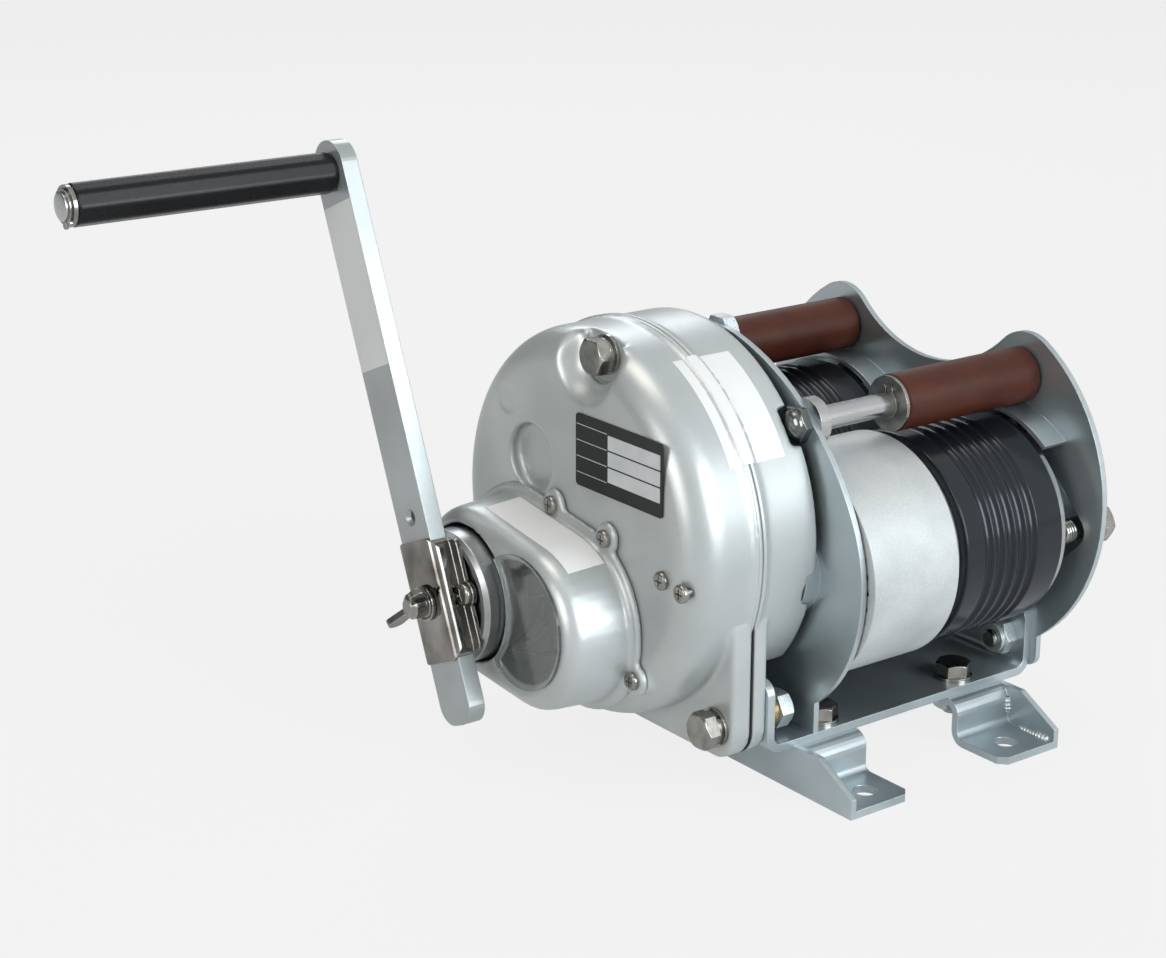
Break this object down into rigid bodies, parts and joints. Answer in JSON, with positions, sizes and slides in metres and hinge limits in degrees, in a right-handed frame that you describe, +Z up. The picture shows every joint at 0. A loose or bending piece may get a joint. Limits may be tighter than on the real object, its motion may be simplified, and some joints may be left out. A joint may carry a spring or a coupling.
{
  "type": "hand winch",
  "caption": "Hand winch with two grooved rope drums between steel side plates, a round gear case with a load brake, and a removable crank with a turning grip.",
  "frame": {"origin": "middle of the four foot holes, on the plane that the feet stand on", "axes": "+X along the drum axes from the crank side to the plain end, +Y across the drums away from the pictured front, +Z up"},
  "size_m": [0.4597, 0.2737, 0.3072],
  "materials": {
    "zinc_sheet": "bright zinc plate, satin, slightly blue",
    "case_paint": "silver-grey satin metallic paint on die casting",
    "bolt_steel": "plain turned stainless steel, satin",
    "bright_steel": "bright drawn steel, fine lengthwise grain",
    "gear_steel": "hardened gear steel with an oil film",
    "spring_steel": "blackened spring wire",
    "bearing_steel": "ground bearing rings",
    "polished_steel": "polished stainless sheet, soft mirror",
    "dark_chrome": "domed nut, dark bright plate",
    "drum_casting": "light grey fine-blasted casting",
    "sleeve_black": "dark slate hard coat, satin",
    "yellow_zinc": "yellow passivated zinc, thin and uneven",
    "hub_steel": "turned steel, satin, darker in its recess",
    "hub_silver": "pale silver, fine turned face",
    "roller_brown": "dark brown phenolic, satin",
    "grip_black": "black moulded plastic, glossy",
    "plate_black": "black anodised name place, left bare",
    "gasket_black": "thin black sealing sheet",
    "window_grey": "grey tinted clear plastic",
    "friction_brown": "brake lining"
  },
  "bodies": {
    "frame": {"channel_base": "zinc_sheet", "foot_left": "zinc_sheet", "foot_right": "zinc_sheet", "left_side_plate": "zinc_sheet", "right_side_plate": "zinc_sheet", "floor_bolts": "bolt_steel", "lug_bolts": "bolt_steel", "top_bolt": "bolt_steel", "plate_bolts": "bolt_steel", "flat_washers": "bolt_steel", "spring_washers": "bolt_steel", "hex_nuts": "bolt_steel", "lock_nuts": "bolt_steel", "lug_spacers": "yellow_zinc", "gear_case_front": "case_paint", "gear_case_rear": "case_paint", "case_gasket": "gasket_black", "nameplate": "plate_black", "pan_screws": "bolt_steel", "brake_cover": "case_paint", "cover_window": "window_grey", "bearing_housings": "zinc_sheet", "housing_bolts": "bolt_steel", "drum_bearings": "bearing_steel", "case_bearings": "gear_steel", "front_tie_rod": "bright_steel", "rear_tie_rod": "bright_steel", "cap_nuts": "dark_chrome", "rod_ring": "bolt_steel", "roller_washer": "bolt_steel", "pawl_pins": "gear_steel", "pawl_springs": "spring_steel"},
    "drum_front": {"front_drum": "drum_casting", "front_sleeve": "sleeve_black", "front_axle": "bright_steel"},
    "drum_rear": {"rear_drum": "drum_casting", "rear_sleeve": "sleeve_black", "rear_axle": "bright_steel"},
    "output_front": {"front_output_gear": "gear_steel", "front_output_shaft": "gear_steel"},
    "output_rear": {"rear_output_gear": "gear_steel", "rear_output_shaft": "gear_steel"},
    "middle": {"middle_shaft": "gear_steel", "middle_gear": "gear_steel"},
    "crank": {"input_shaft": "gear_steel", "friction_discs": "friction_brown", "crank_hub": "hub_steel", "hub_screws": "bolt_steel", "clamp_bracket": "polished_steel"},
    "arm": {"crank_bar": "hub_silver", "grip_pin": "bright_steel", "grip_washer": "bolt_steel", "grip_ring": "bolt_steel"},
    "handle": {"grip": "grip_black"},
    "wing": {"wing_bolt": "polished_steel"},
    "ratchet": {"ratchet_wheel": "gear_steel"},
    "pawl_top": {"upper_pawl": "gear_steel"},
    "pawl_low": {"lower_pawl": "gear_steel"},
    "roller_front": {"front_roller": "roller_brown"},
    "roller_rear": {"rear_roller": "roller_brown"}
  },
  "joints": [
    {"name": "drum_front_spin", "type": "hinge", "parent": "frame", "child": "drum_front", "pos_m": [0, -0.062, 0.11], "axis": [1, 0, 0], "continuous": true},
    {"name": "drum_rear_spin", "type": "hinge", "parent": "frame", "child": "drum_rear", "pos_m": [0, 0.062, 0.11], "axis": [1, 0, 0], "continuous": true},
    {"name": "output_front_spin", "type": "hinge", "parent": "frame", "child": "output_front", "pos_m": [-0.09, -0.03098, 0.12621], "axis": [1, 0, 0], "continuous": true},
    {"name": "output_rear_spin", "type": "hinge", "parent": "frame", "child": "output_rear", "pos_m": [-0.09, 0.03098, 0.12621], "axis": [1, 0, 0], "continuous": true},
    {"name": "middle_spin", "type": "hinge", "parent": "frame", "child": "middle", "pos_m": [-0.11, 0, 0.09786], "axis": [1, 0, 0], "continuous": true},
    {"name": "crank_turn", "type": "hinge", "parent": "frame", "child": "crank", "pos_m": [-0.16, 0.04721, 0.08919], "axis": [1, 0, 0], "continuous": true},
    {"name": "arm_slide", "type": "slide", "parent": "crank", "child": "arm", "axis": [0, -0.3843, -0.9232], "range_m": [0, 0.043]},
    {"name": "handle_spin", "type": "hinge", "parent": "arm", "child": "handle", "pos_m": [-0.27, 0.13137, 0.29138], "axis": [1, 0, 0], "continuous": true},
    {"name": "wing_turn", "type": "hinge", "parent": "crank", "child": "wing", "pos_m": [-0.205, 0.04721, 0.08919], "axis": [1, 0, 0], "range_deg": [0, 180]},
    {"name": "ratchet_play", "type": "hinge", "parent": "frame", "child": "ratchet", "pos_m": [-0.158, 0.04721, 0.08919], "axis": [1, 0, 0], "range_deg": [-1, 1.5]},
    {"name": "pawl_top_swing", "type": "hinge", "parent": "frame", "child": "pawl_top", "pos_m": [-0.158, 0.00481, 0.11569], "axis": [1, 0, 0], "range_deg": [-16, 0], "stiffness_Nm_per_rad": 0.02, "springref_deg": 17.19},
    {"name": "pawl_low_swing", "type": "hinge", "parent": "frame", "child": "pawl_low", "pos_m": [-0.158, 0.00651, 0.06016], "axis": [1, 0, 0], "range_deg": [-16, 0], "stiffness_Nm_per_rad": 0.02, "springref_deg": 17.19},
    {"name": "roller_front_spin", "type": "hinge", "parent": "frame", "child": "roller_front", "pos_m": [0.045, -0.0675, 0.1843], "axis": [1, 0, 0], "continuous": true},
    {"name": "roller_rear_spin", "type": "hinge", "parent": "frame", "child": "roller_rear", "pos_m": [0.02, 0.0675, 0.1843], "axis": [1, 0, 0], "continuous": true}
  ],
  "couplings": [
    {"joint": "drum_rear_spin", "follows": "drum_front_spin", "ratio": 1},
    {"joint": "output_front_spin", "follows": "drum_front_spin", "ratio": 3.3333},
    {"joint": "output_rear_spin", "follows": "drum_front_spin", "ratio": 3.3333},
    {"joint": "middle_spin", "follows": "drum_front_spin", "ratio": -6.6667},
    {"joint": "crank_turn", "follows": "drum_front_spin", "ratio": 20}
  ]
}
